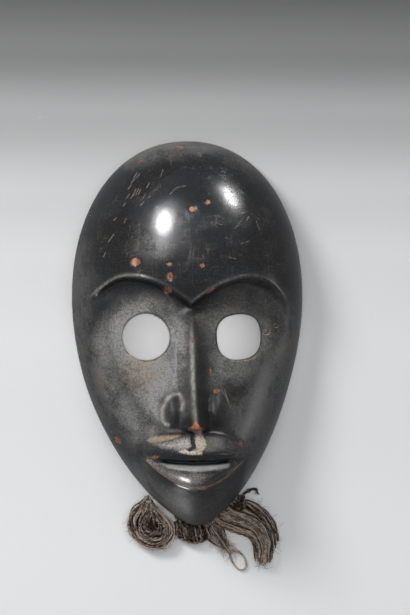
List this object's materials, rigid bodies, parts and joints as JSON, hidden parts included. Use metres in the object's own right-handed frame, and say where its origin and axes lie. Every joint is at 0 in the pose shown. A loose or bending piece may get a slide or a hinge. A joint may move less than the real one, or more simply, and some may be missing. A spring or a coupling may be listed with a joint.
{
  "type": "carved wooden face mask",
  "caption": "Carved wooden face mask with round eye holes, parted lips, a ring of lashing holes in its rim and a beard of plant-fibre cords, lying on its back rim.",
  "frame": {"origin": "Under the middle of the bounding box, in the plane of the flat back rim that the mask lies on.", "axes": "+Z out of the face, +Y from the chin towards the crown, +X to the right of someone who looks at the face."},
  "size_m": [0.1444, 0.2698, 0.0783],
  "materials": {
    "blackened_wood": "glossy black patina over carved wood, with scratches, bare orange-brown wood at chips and worn edges, and a grey-brown bloom round the eyes and on the cheeks",
    "plant_fiber": "matt twisted plant-fibre cord, dark brown with paler worn strands"
  },
  "bodies": {
    "root": {"mask": "blackened_wood", "tie_left_jaw": "plant_fiber", "tie_left_chin": "plant_fiber", "tie_right_chin": "plant_fiber", "tie_right_jaw": "plant_fiber", "fiber_hank_left": "plant_fiber", "fiber_bunch_chin": "plant_fiber", "fiber_tail_loop": "plant_fiber", "fiber_sweep_right": "plant_fiber", "tie_knot_right": "plant_fiber", "fiber_lock_outer": "plant_fiber", "tie_string_end": "plant_fiber"}
  },
  "joints": []
}
